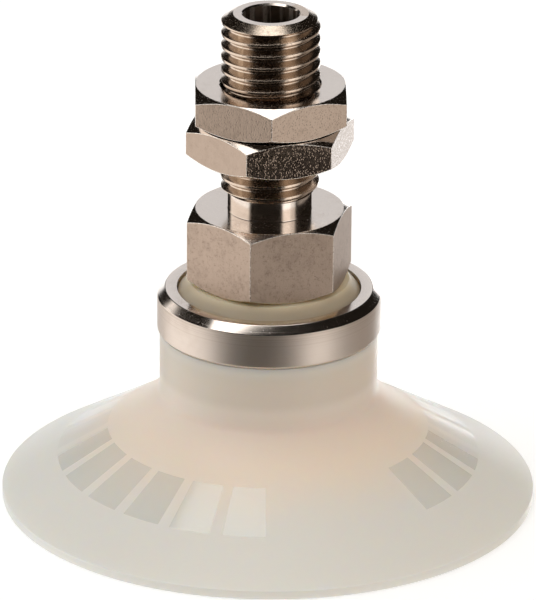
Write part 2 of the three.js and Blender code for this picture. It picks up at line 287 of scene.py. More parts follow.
def rescale(piece, factor):
    pick(piece)
    piece.scale = (factor, factor, factor)
    bpy.ops.object.transform_apply(location=False, rotation=False, scale=True)


def smooth(piece, angle=38):
    """Smooth shading that keeps wide faces flat and sharp edges sharp. The modifier weighs faces by
    their area and takes very small areas for equal, so it works on the piece made larger."""
    pick(piece)
    bpy.ops.object.shade_smooth_by_angle(angle=radians(angle))
    rescale(piece, 1000)
    finish_modifier(piece, "WEIGHTED_NORMAL", keep_sharp=True)
    rescale(piece, 0.001)


def arc(centre, radius, start, end, steps):
    """Points on an arc that bulges down and inwards, by the angle of its slope."""
    angles = [start + (end - start) * i / steps for i in range(steps + 1)]
    return [(centre[0] - radius * sin(a), centre[1] - radius * cos(a)) for a in angles]


def coat(piece, *materials):
    piece.data.materials.clear()
    for material in materials:
        piece.data.materials.append(material)


def finish_faces(piece, slot_index, wanted):
    """Gives one of the piece's materials to the faces that wanted() picks by centre and normal."""
    pick(piece)
    mode("EDIT")
    bpy.ops.mesh.select_mode(type="FACE")
    mark("DESELECT")
    mode("OBJECT")
    for polygon in piece.data.polygons:
        polygon.select = wanted(polygon.center, polygon.normal)
    mode("EDIT")
    piece.active_material_index = slot_index
    bpy.ops.object.material_slot_assign()
    bpy.ops.mesh.select_mode(type="VERT")
    mode("OBJECT")


def finish_hexagon(piece, turned_by):
    """Satin flats, and burnished edges round each of them. The rest stays as turned."""
    chamfer = cos(bpy.context.scene.fitting_sizes.chamfer)

    def on_flat(centre, normal):
        off = (atan2(normal.x, -normal.y) - turned_by) % (pi / 3) - pi / 6
        return centre.xy.length > 5.2 * MM and abs(normal.z) < 0.06 and abs(off) < 0.06

    def on_edge(centre, normal):
        tilt = abs(normal.z)
        between = abs(tilt - chamfer) > 0.03 and tilt < 0.99
        return centre.xy.length > 5.5 * MM and between and not on_flat(centre, normal)

    finish_faces(piece, 1, on_flat)
    finish_faces(piece, 2, on_edge)


# ---- Node building -------------------------------------------------------


COLUMN_WIDTH, ROW_HEIGHT, ROWS = 190, 130, 4


class Nodes:
    """Adds nodes to a tree and joins them. A value is a number, a colour or another node's socket."""

    def __init__(self, tree):
        self.tree = tree
        self.column = 0

    def new(self, kind, settings=None, **inputs):
        node = self.tree.nodes.new(kind)
        node.location = (self.column * COLUMN_WIDTH, -(self.column % ROWS) * ROW_HEIGHT)
        self.column += 1
        for key, value in (settings or {}).items():
            setattr(node, key, value)
        for key, value in inputs.items():
            self.put(node, key, value)
        return node

    def add(self, kind, out=0, settings=None, **inputs):
        return self.new(kind, settings, **inputs).outputs[out]

    def put(self, node, key, value):
        socket = node.inputs[int(key[1:]) if key[0] == "i" and key[1:].isdigit() else key.replace("_", " ")]
        if isinstance(value, bpy.types.NodeSocket):
            self.tree.links.new(value, socket)
        else:
            socket.default_value = value

    def maths(self, operation, a, b=0.0, c=0.0):
        return self.add("ShaderNodeMath", settings={"operation": operation}, i0=a, i1=b, i2=c)

    def vector(self, operation, **inputs):
        return self.add("ShaderNodeVectorMath", settings={"operation": operation}, **inputs)

    def times(self, a, b):
        return self.maths("MULTIPLY", a, b)

    def plus(self, a, b):
        return self.maths("ADD", a, b)

    def minus(self, a, b):
        return self.maths("SUBTRACT", a, b)

    def bump(self, strength, distance, height):
        return self.add("ShaderNodeBump", Strength=strength, Distance=distance, Height=height)

    def facing_up(self):
        """How far a face looks up, from -1 to 1."""
        normal = self.add("ShaderNodeNewGeometry", 1)
        return self.add("ShaderNodeSeparateXYZ", Vector=normal).node.outputs[2]

    def ramp(self, value, low, high, to_low=0.0, to_high=1.0, smooth=True):
        return self.add(
            "ShaderNodeMapRange", settings={"interpolation_type": "SMOOTHSTEP" if smooth else "LINEAR"},
            Value=value, From_Min=low, From_Max=high, To_Min=to_low, To_Max=to_high,
        )

    def fade(self, value, low, high):
        return self.ramp(value, low, high, 1.0, 0.0)

    def blend(self, factor, a, b):
        node = self.new("ShaderNodeMix", {"data_type": "RGBA"}, i0=factor)
        for key, value in (("i6", a), ("i7", b)):
            self.put(node, key, value if isinstance(value, bpy.types.NodeSocket) else (*value, 1.0))
        return node.outputs[2]

    def noise(self, where, scale, detail=2.0, roughness=0.5):
        return self.add("ShaderNodeTexNoise", Vector=where, Scale=scale, Detail=detail, Roughness=roughness)

    def group(self, group, *out, **inputs):
        """The outputs with these names of one of the shared groups, or the only one asked for."""
        node = self.new("ShaderNodeGroup", {"node_tree": group}, **inputs)
        return [node.outputs[name] for name in out] if len(out) > 1 else node.outputs[out[0]]


def node_group(name, numbers, outputs):
    """A shader group that reads a place and some numbers, and a builder for its inside."""
    tree = bpy.data.node_groups.new(name, "ShaderNodeTree")
    tree.interface.new_socket("Vector", in_out="INPUT", socket_type="NodeSocketVector")
    for label, value in numbers.items():
        socket = tree.interface.new_socket(label, in_out="INPUT", socket_type="NodeSocketFloat")
        socket.default_value = value
    for label in outputs:
        tree.interface.new_socket(label, in_out="OUTPUT", socket_type="NodeSocketFloat")
    nodes = Nodes(tree)
    source = tree.nodes.new("NodeGroupInput")
    sink = tree.nodes.new("NodeGroupOutput")
    sink.location = (2600, 0)
    return tree, nodes, source.outputs, partial(nodes.put, sink)


def round_place_group():
    """Radius, angle and height of a point about the piece's axis."""
    tree, n, source, give = node_group("Round place", {}, ("Radius", "Angle", "Height"))
    parts = n.add("ShaderNodeSeparateXYZ", Vector=source["Vector"]).node.outputs
    x2, y2 = n.times(parts[0], parts[0]), n.times(parts[1], parts[1])
    give("Radius", n.maths("SQRT", n.plus(x2, y2)))
    give("Angle", n.maths("ARCTAN2", parts[0], n.times(parts[1], -1.0)))
    give("Height", parts[2])
    return tree


def turning_marks_group(round_place):
    """Fine rings left by the lathe, uneven in depth, and a mask of the deeper ones."""
    tree, n, source, give = node_group("Turning marks", {"Lines per metre": 12000.0}, ("Height", "Mask"))
    radius, angle, height = n.group(round_place, "Radius", "Angle", "Height", Vector=source["Vector"])
    along = n.add("ShaderNodeCombineXYZ", X=radius, Y=height, Z=n.times(angle, 6e-6))
    fine = n.noise(along, source["Lines per metre"], 3.0, 0.65)
    broad = n.noise(along, n.times(source["Lines per metre"], 0.12), 1.0)
    mixed = n.plus(n.times(fine, 0.7), n.times(broad, 0.3))
    give("Height", mixed)
    give("Mask", n.ramp(mixed, 0.48, 0.66))
    return tree


def speckle_group():
    """Fine pits of a cast or blasted surface, and a mask of the pits."""
    tree, n, source, give = node_group("Speckle", {"Scale": 9000.0, "Coverage": 0.5}, ("Height", "Mask"))
    grain = n.noise(source["Vector"], source["Scale"], 4.0, 0.6)
    coarse = n.noise(source["Vector"], n.times(source["Scale"], 0.3), 2.0)
    mixed = n.plus(n.times(grain, 0.65), n.times(coarse, 0.35))
    edge = n.minus(0.72, n.times(source["Coverage"], 0.4))
    give("Height", mixed)
    give("Mask", n.ramp(mixed, edge, n.plus(edge, 0.12)))
    return tree


def handling_group():
    """Faint smears of handling and a little dust on faces that look up."""
    tree, n, source, give = node_group("Handling", {"Scale": 220.0, "Amount": 0.5}, ("Smear", "Dust"))
    cloud = n.noise(source["Vector"], source["Scale"], 3.0, 0.6)
    wisps = n.noise(source["Vector"], n.times(source["Scale"], 5.0), 3.0, 0.7)
    smear = n.times(n.ramp(cloud, 0.42, 0.68), n.ramp(wisps, 0.3, 0.75))
    specks = n.ramp(n.noise(source["Vector"], n.times(source["Scale"], 28.0), 1.0), 0.66, 0.76)
    give("Smear", n.times(smear, source["Amount"]))
    dusty = n.times(specks, n.ramp(n.facing_up(), 0.2, 0.9))
    give("Dust", n.times(dusty, source["Amount"]))
    return tree


def edge_wear_group():
    """Where convex edges are rubbed bright, broken up along the edge."""
    tree, n, source, give = node_group("Edge wear", {"Scale": 2500.0, "Reach": 0.5}, ("Mask",))
    point = n.add("ShaderNodeNewGeometry", "Pointiness")
    low = n.minus(0.58, n.times(source["Reach"], 0.06))
    rubbed = n.ramp(point, low, n.plus(low, 0.06))
    broken = n.ramp(n.noise(source["Vector"], source["Scale"], 3.0, 0.7), 0.3, 0.62)
    give("Mask", n.times(rubbed, broken))
    return tree


class Effects:
    """The shader groups that the finishes share, built once."""

    made = None

    def __init__(self):
        self.place = round_place_group()
        self.marks = turning_marks_group(self.place)
        self.speckle = speckle_group()
        self.handling = handling_group()
        self.wear = edge_wear_group()

    @classmethod
    def get(cls):
        if cls.made is None:
            cls.made = cls()
        return cls.made


def finish(wire):
    """Turns a function that wires a Principled shader into one that gives the material with a name,
    made once. The function gets the builder, the way to set the shader, the place on the piece, the
    colours and the shared effects."""

    def named(name, *values):
        material = bpy.data.materials.get(name)
        if material is None:
            material = bpy.data.materials.new(name)
            material.use_nodes = True
            nodes = Nodes(material.node_tree)
            shader = nodes.tree.nodes["Principled BSDF"]
            shader.location = (3000, 0)
            nodes.tree.nodes["Material Output"].location = (3300, 0)
            where = nodes.add("ShaderNodeTexCoord", "Object")
            looks = bpy.context.scene.cup_finishes
            wire(nodes, partial(nodes.put, shader), where, looks, Effects.get(), *values)
        return material

    return named


def metallic(put, tone, rough, normal):
    """Sets what every bare metal here has."""
    for key, value in (("Base Color", tone), ("Roughness", rough), ("Metallic", 1.0), ("Normal", normal)):
        put(key, value)


@finish
def turned_metal(n, put, where, looks, fx):
    """Nickel plated brass as the lathe left it: close to a mirror, with fine rings."""
    height, lines = n.group(fx.marks, "Height", "Mask", Vector=where, Lines_per_metre=14000.0)
    smear, dust = n.group(fx.handling, "Smear", "Dust", Vector=where, Amount=0.6)
    worn = n.group(fx.wear, "Mask", Vector=where)
    tone = n.blend(n.times(smear, 0.5), looks.metal, looks.metal_dull)
    tone = n.blend(n.times(worn, 0.35), tone, (0.90, 0.80, 0.70))
    rough = n.plus(0.13, n.times(lines, 0.07))
    rough = n.plus(rough, n.times(smear, 0.14))
    metallic(put, tone, n.plus(rough, n.times(dust, 0.25)), n.bump(0.5, 1.2e-6, height))


@finish
def brushed_metal(n, put, where, looks, fx):
    """The clamp band's side: the same plating with rings that can be seen."""
    height, lines = n.group(fx.marks, "Height", "Mask", Vector=where, Lines_per_metre=6000.0)
    smear = n.group(fx.handling, "Smear", Vector=where, Amount=0.7)
    worn = n.group(fx.wear, "Mask", Vector=where)
    tone = n.blend(n.times(smear, 0.5), looks.metal, looks.metal_dull)
    tone = n.blend(n.plus(0.25, n.times(lines, 0.4)), tone, looks.metal_dull)
    tone = n.blend(n.times(worn, 0.35), tone, (0.90, 0.80, 0.70))
    rough = n.plus(0.46, n.times(lines, 0.08))
    metallic(put, tone, n.plus(rough, n.times(smear, 0.10)), n.bump(1.0, 1e-5, height))


@finish
def satin_metal(n, put, where, looks, fx, tint, smoothness, grain, depth):
    """The plated flats of a hexagon bar: satin, finely pitted, with faint marks of drawing."""
    height, pits = n.group(fx.speckle, "Height", "Mask", Vector=where, Scale=10000.0, Coverage=grain)
    smear = n.group(fx.handling, "Smear", Vector=where, Scale=300.0, Amount=0.8)
    worn = n.group(fx.wear, "Mask", Vector=where)
    drawn = n.add("ShaderNodeMapping", Vector=where, Scale=(4200.0, 4200.0, 260.0))
    streaks = n.noise(drawn, 1.0, 2.0)
    tone = n.blend(n.times(pits, 0.45), getattr(looks, tint), looks.satin_dull)
    tone = n.blend(n.ramp(streaks, 0.35, 0.8, 0.0, 0.08), tone, looks.satin_dull)
    tone = n.blend(n.times(smear, 0.35), tone, looks.satin_dull)
    tone = n.blend(n.times(worn, 0.6), tone, (0.86, 0.77, 0.68))
    rough = n.plus(smoothness, n.times(pits, 0.08))
    beads = n.ramp(n.add("ShaderNodeTexVoronoi", Vector=where, Scale=6500.0), 0.08, 0.34)
    relief = n.plus(n.times(beads, 0.8), n.times(height, 0.25))
    relief = n.plus(relief, n.times(streaks, 0.06))
    metallic(put, tone, n.plus(rough, n.times(smear, 0.06)), n.bump(1.0, depth, relief))


@finish
def burnished_edge(n, put, where, looks, fx):
    """Rounded edges between flats and chamfers, where the plating is rough and rubbed bright."""
    height, pits = n.group(fx.speckle, "Height", "Mask", Vector=where, Scale=5500.0, Coverage=0.6)
    tone = n.blend(n.times(pits, 0.5), (0.93, 0.86, 0.79), looks.metal_dull)
    metallic(put, tone, n.plus(0.20, n.times(pits, 0.12)), n.bump(1.0, 9e-5, height))


@finish
def threaded_metal(n, put, where, looks, fx):
    """The thread and the end of the stud: cut rougher, so the plating on it is darker and warmer. Faces that
    look down get painted shade.
    """
    grain, pits = n.group(fx.speckle, "Height", "Mask", Vector=where, Scale=7000.0, Coverage=0.5)
    marks = n.group(fx.marks, "Height", Vector=where, Lines_per_metre=12000.0)
    worn = n.group(fx.wear, "Mask", Vector=where)
    tone = n.blend(n.times(pits, 0.4), looks.metal_thread, looks.satin)
    # Painted shade: faces that look down are darkened towards dark brown.
    tone = n.blend(n.ramp(n.facing_up(), -0.6, -0.2, 0.8, 0.0), tone, (0.22, 0.16, 0.11))
    tone = n.blend(n.times(worn, 0.4), tone, (0.86, 0.74, 0.60))
    height = n.plus(grain, n.times(marks, 0.3))
    metallic(put, tone, n.plus(0.20, n.times(pits, 0.12)), n.bump(1.0, 7e-6, height))


@finish
def drilled_metal(n, put, where, looks, fx):
    """The wall of the bore: plated over drill marks, so it is duller and browner. Light and dark streaks
    round it are painted reflections.
    """
    height, pits = n.group(fx.speckle, "Height", "Mask", Vector=where, Scale=8000.0, Coverage=0.5)
    marks = n.group(fx.marks, "Height", Vector=where, Lines_per_metre=5000.0)
    angle, depth = n.group(fx.place, "Angle", "Height", Vector=where)
    round_wall = n.add("ShaderNodeCombineXYZ", X=angle, Y=n.times(depth, 40.0))
    # Painted reflection: light and dark streaks by angle round the wall.
    streak = n.ramp(n.noise(round_wall, 3.2, 1.0), 0.44, 0.56)
    tone = n.blend(streak, looks.metal, looks.satin_dull)
    tone = n.blend(n.times(pits, 0.5), tone, looks.satin_dull)
    metallic(put, tone, n.plus(0.40, n.times(pits, 0.12)), n.bump(0.8, 1e-5, n.plus(height, marks)))


@finish
def milky_silicone(n, put, where, looks, fx):
    """Translucent silicone: frosted by the mould, with polished pads round the bell."""
    sizes = bpy.context.scene.bell_sizes
    radius, angle, height = n.group(fx.place, "Radius", "Angle", "Height", Vector=where)

    # Polished pads: one pitch of angle, repeated, with a few left out in front.
    pitch = 2 * pi / sizes.pad_count
    turned_by = n.minus(angle, sizes.pad_turn)
    step = n.maths("ROUND", n.maths("DIVIDE", turned_by, pitch))
    offset = n.maths("ABSOLUTE", n.minus(turned_by, n.times(step, pitch)))
    half = (pitch - sizes.pad_gap) / 2
    side = n.times(offset, radius)
    soft = 0.05 * MM
    across = n.ramp(n.minus(n.times(half, radius), side), -soft, soft)
    inward = n.ramp(radius, sizes.pad_inner - soft, sizes.pad_inner + soft)
    outward = n.fade(radius, sizes.pad_outer - soft, sizes.pad_outer + soft)
    first = n.ramp(step, -0.6, -0.4, 1.0, 0.0, smooth=False)
    last = n.ramp(step, sizes.pads_left_out - 0.6, sizes.pads_left_out - 0.4, smooth=False)
    kept = n.maths("MAXIMUM", first, last)
    kept = n.times(kept, n.ramp(n.maths("ABSOLUTE", angle), radians(76), radians(90), 1.0, 0.25))
    outside = n.ramp(n.facing_up(), 0.0, 0.3)
    pad = n.times(n.times(across, n.times(inward, outward)), n.times(kept, outside))

    grain, pits = n.group(fx.speckle, "Height", "Mask", Vector=where, Scale=3800.0, Coverage=0.45)
    smear, dust = n.group(fx.handling, "Smear", "Dust", Vector=where, Amount=0.5)
    clouds = n.noise(where, 90.0, 2.0)
    drift = n.times(n.minus(clouds, 0.5), 3.0 * MM)
    thick = n.fade(n.plus(radius, drift), 11.0 * MM, 17.5 * MM)
    tone = n.blend(thick, looks.silicone, looks.silicone_thick)
    # The collar has a yellow stain by the hexagon, its colour raised as painted light against the hexagon's
    # shade, and is darker on its outer ring by the band.
    collar = n.blend(n.ramp(radius, 6.2 * MM, 6.9 * MM), looks.silicone_stain_and_light, looks.silicone_collar_rim)
    tone = n.blend(n.ramp(height, BAND_TOP - 1.0 * MM, BAND_TOP), tone, collar)
    # Painted shade: a darker band round the neck, where the metal bush inside shades the light through the
    # silicone.
    over_foot = n.ramp(height, BUSH_BOTTOM + 0.1 * MM, BUSH_BOTTOM + 1.1 * MM)
    under_band = n.ramp(height, BAND_BOTTOM - 1.2 * MM, BAND_BOTTOM - 0.4 * MM, 1.0, 0.4)
    bush = n.times(n.times(over_foot, under_band), n.fade(radius, 9.2 * MM, 9.8 * MM))
    tone = n.blend(n.times(bush, 0.36), tone, (0.62, 0.53, 0.43))
    # Painted reflection: the polished pads are tinted grey-green for the dark surroundings that they reflect.
    tone = n.blend(n.times(pad, 0.35), tone, (0.60, 0.62, 0.58))
    tone = n.blend(n.times(dust, 0.25), tone, (0.86, 0.84, 0.80))
    put("Base Color", tone)
    frosted = n.plus(0.40, n.times(smear, 0.10))
    frosted = n.plus(frosted, n.times(pits, 0.06))
    put("Roughness", n.minus(frosted, n.times(pad, 0.30)))
    fine = n.times(grain, n.minus(1.0, n.times(pad, 0.75)))
    step_up = n.plus(fine, n.times(pad, 1.2))
    put("Normal", n.bump(0.6, 1.6e-5, step_up))
    put("Coat Weight", n.times(pad, 0.8))
    put("Coat Roughness", 0.08)
    put("IOR", 1.41)
    put("Subsurface Weight", 0.85)
    put("Subsurface Radius", (1.0, 0.75, 0.5))
    put("Subsurface Scale", 2.2 * MM)
    put("Transmission Weight", 0.12)


@finish
def seal_rubber(n, put, where, looks, fx):
    grain, pits = n.group(fx.speckle, "Height", "Mask", Vector=where, Scale=6000.0)
    smear = n.group(fx.handling, "Smear", Vector=where, Amount=0.5)
    put("Base Color", n.blend(n.times(smear, 0.5), looks.rubber, (0.08, 0.08, 0.085)))
    put("Roughness", n.plus(0.42, n.times(pits, 0.2)))
    put("Normal", n.bump(0.5, 8e-6, grain))


@finish
def sintered_bronze(n, put, where, looks, fx):
    beads = n.add("ShaderNodeTexVoronoi", Vector=where, Scale=5200.0)
    smear = n.group(fx.handling, "Smear", Vector=where, Amount=0.8)
    tone = n.blend(n.ramp(beads, 0.25, 0.7), looks.bronze, (0.14, 0.075, 0.035))
    put("Base Color", n.blend(n.times(smear, 0.3), tone, (0.30, 0.20, 0.12)))
    put("Metallic", 1.0)
    put("Roughness", n.plus(0.38, n.times(smear, 0.2)))
    sunk = {"invert": True}
    put("Normal", n.add("ShaderNodeBump", settings=sunk, Strength=0.9, Distance=5e-5, Height=beads))


@finish
def spring_steel(n, put, where, looks, fx):
    height, lines = n.group(fx.marks, "Height", "Mask", Vector=where, Lines_per_metre=16000.0)
    worn = n.group(fx.wear, "Mask", Vector=where)
    put("Base Color", n.blend(n.times(worn, 0.5), looks.steel, (0.75, 0.76, 0.78)))
    put("Metallic", 1.0)
    put("Roughness", n.plus(0.24, n.times(lines, 0.12)))
    put("Normal", n.bump(0.5, 2e-6, height))


# ---- Shapes that more than one piece has ---------------------------------


def hexagon(name, bottom, top, turned_by):
    """A hexagon bar whose corners are taken off by a cone at both ends, with its edges rounded."""
    sizes = bpy.context.scene.fitting_sizes
    corner = sizes.flats / sqrt(3)
    face = sizes.flats / 2 * 0.99
    reach = corner * 1.05
    drop = (reach - face) * tan(sizes.chamfer)
    lens = turned(
        name + "_cone",
        [(face, bottom), (reach, bottom + drop), (reach, top - drop), (face, top)],
        sizes.around, closed=False,
    )
    pick()
    bpy.ops.mesh.primitive_cylinder_add(
        vertices=6, radius=corner, depth=top - bottom,
        location=(0, 0, (top + bottom) / 2), rotation=(0, 0, turned_by),
    )
    bar = new_piece(name)
    carve(bar, lens, "INTERSECT")
    round_edges(bar, sizes.corner)
    return bar


def thread(name, bottom, top):
    """The stud's thread: its section, one pitch high, screwed up round the axis and cut off flat."""
    sizes = bpy.context.scene.fitting_sizes
    crest, root, pitch = sizes.thread_radius, sizes.thread_radius - sizes.thread_depth, sizes.pitch
    start = (int(bottom / pitch) - 2) * pitch
    half = [(crest, 0.0), (crest, 0.075 * pitch)]
    crest_break, root_break = 0.02 * MM, 0.05 * MM
    flank = crest - root - (sin(radians(20)) + sin(radians(40))) * 0.07 * MM
    flank /= sin(radians(60))
    slopes = ((20, crest_break), (40, crest_break), (60, flank), (40, root_break), (20, root_break))
    for slope, run in slopes:
        r, z = half[-1]
        half.append((r - run * sin(radians(slope)), z + run * cos(radians(slope))))
    half.append((root, pitch / 2))
    section = [(r, start + z) for r, z in half]
    section += [(r, start + pitch - z) for r, z in reversed(half[:-1])]
    mode("OBJECT")
    screwed = outline_chain(name, section, closed=False)
    mode("OBJECT")
    turns = int((top - start) / pitch) + 2
    finish_modifier(
        screwed, "SCREW", axis="Z", angle=2 * pi, screw_offset=pitch, iterations=turns,
        steps=96, render_steps=96, use_smooth_shade=True,
    )
    pick(screwed)
    mode("EDIT")
    weld()
    for height, outward in ((bottom, -1), (top, 1)):
        bpy.ops.mesh.bisect(
            plane_co=(0, 0, height), plane_no=(0, 0, outward), use_fill=True, clear_outer=True, threshold=1e-7
        )
        mark("SELECT")
    bpy.ops.mesh.normals_make_consistent(inside=False)
    mode("OBJECT")
    return screwed


def bush_grooves(gap=0.0):
    """The grooves round the bush, from the lowest up. The silicone that fills them keeps a gap."""
    points = []
    for above in (1.6 * MM, 4.9 * MM):
        low = above + BUSH_BOTTOM
        low, high = low + gap, low + MM - gap
        floor = BUSH_RADIUS - 0.5 * MM + gap
        points += [(BUSH_RADIUS + gap, low), (floor, low), (floor, high), (BUSH_RADIUS + gap, high)]
    return points


# ---- Operators: one for each piece, or group of like pieces --------------


class CUP_OT_bell(bpy.types.Operator):
    """Add the silicone bell with its neck and collar"""

    bl_idname = "suction_cup.bell"
    bl_label = "Silicone bell"

    def execute(self, context):
        s = context.scene.bell_sizes
        neck = BUSH_RADIUS + s.neck_wall
        collar = BUSH_RADIUS + s.collar_wall
        slope, inner_slope = tan(s.cone_angle), tan(s.cone_angle - s.taper)
        start = (neck + s.flare_width, s.lip_height + (LIP_RADIUS - neck - s.flare_width) * slope)
        flare = s.flare_radius
        centre = (start[0] + flare * sin(s.cone_angle), start[1] + flare * cos(s.cone_angle))
        end = asin((centre[0] - neck) / flare)
        lip_inner = LIP_RADIUS - s.lip_land
        ceiling = BUSH_BOTTOM - GAP - s.floor_thickness
        corner, blend = lip_inner - ceiling / inner_slope, 0.6 * MM
        hole = context.scene.fitting_sizes.spigot + 0.2 * MM

        def slope_point(r, proud=0.0):
            angle = s.cone_angle - s.taper
            return (r + proud * sin(angle), (lip_inner - r) * inner_slope - proud * cos(angle))

        ridges = []
        ridge_foot, ridge_top, ridge_height = 0.22 * MM, 0.1 * MM, 0.14 * MM
        for r in (16.4 * MM, 18.6 * MM):
            ridges += [slope_point(r - ridge_foot), slope_point(r - ridge_top, ridge_height)]
            ridges += [slope_point(r + ridge_top, ridge_height), slope_point(r + ridge_foot)]
        outline = [(lip_inner, 0.0), (LIP_RADIUS, 0.0), (LIP_RADIUS, s.lip_height)]
        rings, run, rise = 14, start[0] - LIP_RADIUS, start[1] - s.lip_height
        outline += [(LIP_RADIUS + run * i / rings, s.lip_height + rise * i / rings) for i in range(1, rings)]
        bend = pi / 2 - end
        reach = s.fillet * tan(bend / 2)
        outline += arc(centre, flare, s.cone_angle, end - reach / flare, 14)
        foot = centre[1] - flare * cos(end) + reach
        for i in range(5, -1, -1):
            angle = bend * i / 6
            outline.append((neck + s.fillet * (1 - cos(angle)), foot - s.fillet * sin(angle)))
        outline += [(neck, BAND_BOTTOM - GAP), (collar, BAND_BOTTOM - GAP), (collar, BAND_TOP - 0.3 * MM)]
        outline += [(BUSH_RADIUS - GAP, COLLAR_TOP), (hole, COLLAR_TOP), (hole, BUSH_TOP + GAP)]
        outline += [(BUSH_RADIUS + GAP, BUSH_TOP + GAP), *reversed(bush_grooves(GAP))]
        outline += [(BUSH_RADIUS + GAP, BUSH_BOTTOM - GAP), (s.hole_radius, BUSH_BOTTOM - GAP)]
        outline += [(s.hole_radius, ceiling - s.boss_depth), (s.boss_radius, ceiling - s.boss_depth)]
        outline += [(s.boss_radius, ceiling), (corner - blend, ceiling)]
        outline += [(corner + blend, ceiling - blend * inner_slope), *ridges]
        piece = turned("silicone_bell", outline, 288)
        round_edges(piece, s.edge, steps=3, sharper_than=20)
        smooth(piece, 50)
        coat(piece, milky_silicone("silicone_milky"))
        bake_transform(piece)
        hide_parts("suction_cup")
        return {"FINISHED"}


class CUP_OT_band(bpy.types.Operator):
    """Add the clamp band that squeezes the neck onto the bush"""

    bl_idname = "suction_cup.band"
    bl_label = "Clamp band"

    def execute(self, context):
        s = context.scene.fitting_sizes
        inner, edge = BAND_RADIUS - s.band_wall, 0.2 * MM
        piece = turned(
            "clamp_band_turned",
            [
                (inner, BAND_BOTTOM), (BAND_RADIUS - edge, BAND_BOTTOM), (BAND_RADIUS, BAND_BOTTOM + edge),
                (BAND_RADIUS, BAND_TOP - s.band_bevel), (BAND_RADIUS - s.band_bevel, BAND_TOP),
                (inner, BAND_TOP),
            ],
            256,
        )
        round_edges(piece, 0.05 * MM, steps=2)
        smooth(piece)
        coat(piece, turned_metal("plated_brass_turned"), brushed_metal("plated_brass_brushed"))
        side = BAND_RADIUS - 0.02 * MM
        finish_faces(piece, 1, lambda centre, normal: centre.xy.length > side and abs(normal.z) < 0.3)
        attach(piece, "fitting")
        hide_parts("clamp_band")
        return {"FINISHED"}


class CUP_OT_fitting(bpy.types.Operator):
    """Add the hollow fitting: spigot, hexagon, relief and threaded stud"""

    bl_idname = "suction_cup.fitting"
    bl_label = "Threaded fitting"

    def execute(self, context):
        s = context.scene.fitting_sizes
        hex_bottom = BAND_TOP + s.hex_standoff
        hex_top = hex_bottom + s.hex_height
        root, crest = s.thread_radius - s.thread_depth, s.thread_radius + 0.1 * MM
        piece = hexagon("threaded_fitting_turned", hex_bottom, hex_top, s.hex_turn)

        seal_half, groove = 0.55 * MM, s.spigot - SEAL_GROOVE
        middle = (bottom_of("seal_ring") + top_of("seal_ring")) / 2
        spigot = turned(
            "spigot",
            [
                (s.spigot - 0.2 * MM, SPIGOT_END), (s.spigot, SPIGOT_END + 0.2 * MM),
                (s.spigot, middle - seal_half), (groove, middle - seal_half),
                (groove, middle + seal_half), (s.spigot, middle + seal_half),
                (s.spigot, hex_bottom + 0.5 * MM),
            ],
            s.around, closed=False,
        )
        carve(piece, spigot, "UNION")

        threaded = thread("stud", hex_top - 0.5 * MM, STUD_TOP + 0.5 * MM)
        start, relief = hex_top + s.relief, root - 0.02 * MM
        chamfer_foot = STUD_TOP - s.stud_chamfer_height - 0.1 * MM * s.stud_chamfer_height / s.stud_chamfer
        envelope = turned(
            "envelope",
            [
                (root, hex_top - 0.4 * MM), (root, hex_top), (relief, hex_top + 0.1 * MM),
                (relief, start), (crest, start + s.thread_depth), (crest, chamfer_foot),
                (s.thread_radius - s.stud_chamfer, STUD_TOP),
            ],
            s.around, closed=False,
        )
        carve(threaded, envelope, "INTERSECT")
        carve(piece, threaded, "UNION")

        seat, ring_groove = FILTER_RADIUS + GAP, radius_of("filter_snap_ring") + GAP
        ring_low, ring_high = bottom_of("filter_snap_ring") - GAP, top_of("filter_snap_ring") + GAP
        mouth = 0.14 * MM
        bore = turned(
            "bore",
            [
                (seat, SPIGOT_END - 1 * MM), (seat, ring_low), (ring_groove, ring_low),
                (ring_groove, ring_high), (seat, ring_high), (seat, top_of("filter_disc") + GAP),
                (s.bore, top_of("filter_disc") + GAP), (s.bore, STUD_TOP - mouth),
                (s.bore + 2 * mouth, STUD_TOP + mouth),
            ],
            s.around, closed=False,
        )
        carve(piece, bore, "DIFFERENCE")
        smooth(piece, 24)
        coat(
            piece, turned_metal("plated_brass_turned"),
            satin_metal("plated_brass_hexagon", "satin_hexagon", 0.54, 0.5, 1e-5),
            burnished_edge("plated_brass_edge"), drilled_metal("plated_brass_bore"),
            threaded_metal("plated_brass_thread"),
        )
        finish_hexagon(piece, s.hex_turn)
        thread_foot, thread_inner, bore_wall = start + 0.02 * MM, s.bore + 0.3 * MM, s.bore + 0.01 * MM
        finish_faces(
            piece, 4, lambda centre, normal: centre.z > thread_foot and centre.xy.length > thread_inner
        )
        finish_faces(piece, 3, lambda centre, normal: centre.xy.length < bore_wall and abs(normal.z) < 0.5)
        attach(piece, "fitting")
        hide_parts("threaded_fitting")
        return {"FINISHED"}


class CUP_OT_nuts(bpy.types.Operator):
    """Add the two thin jam nuts"""

    bl_idname = "suction_cup.nuts"
    bl_label = "Jam nuts"

    def execute(self, context):
        s = context.scene.fitting_sizes
        hole = s.thread_radius + s.nut_gap
        for node, body, turned_by in (
            ("lower_jam_nut", "lower_nut", s.lower_turn),
            ("upper_jam_nut", "upper_nut", s.upper_turn),
        ):
            bottom, top = bottom_of(node), top_of(node)
            nut = hexagon(node + "_turned", bottom, top, turned_by)
            sink = 0.1 * MM
            cutter = turned(
                "nut_hole",
                [
                    (hole + 2 * sink, bottom - sink), (hole, bottom + sink),
                    (hole, top - sink), (hole + 2 * sink, top + sink),
                ],
                s.around, closed=False,
            )
            carve(nut, cutter, "DIFFERENCE")
            smooth(nut, 24)
            flats = satin_metal("plated_brass_nut", "satin", 0.14, 0.42, 1.2e-5)
            coat(nut, turned_metal("plated_brass_turned"), flats, burnished_edge("plated_brass_edge"))
            finish_hexagon(nut, turned_by)
            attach(nut, body)
            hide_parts(node)
        return {"FINISHED"}


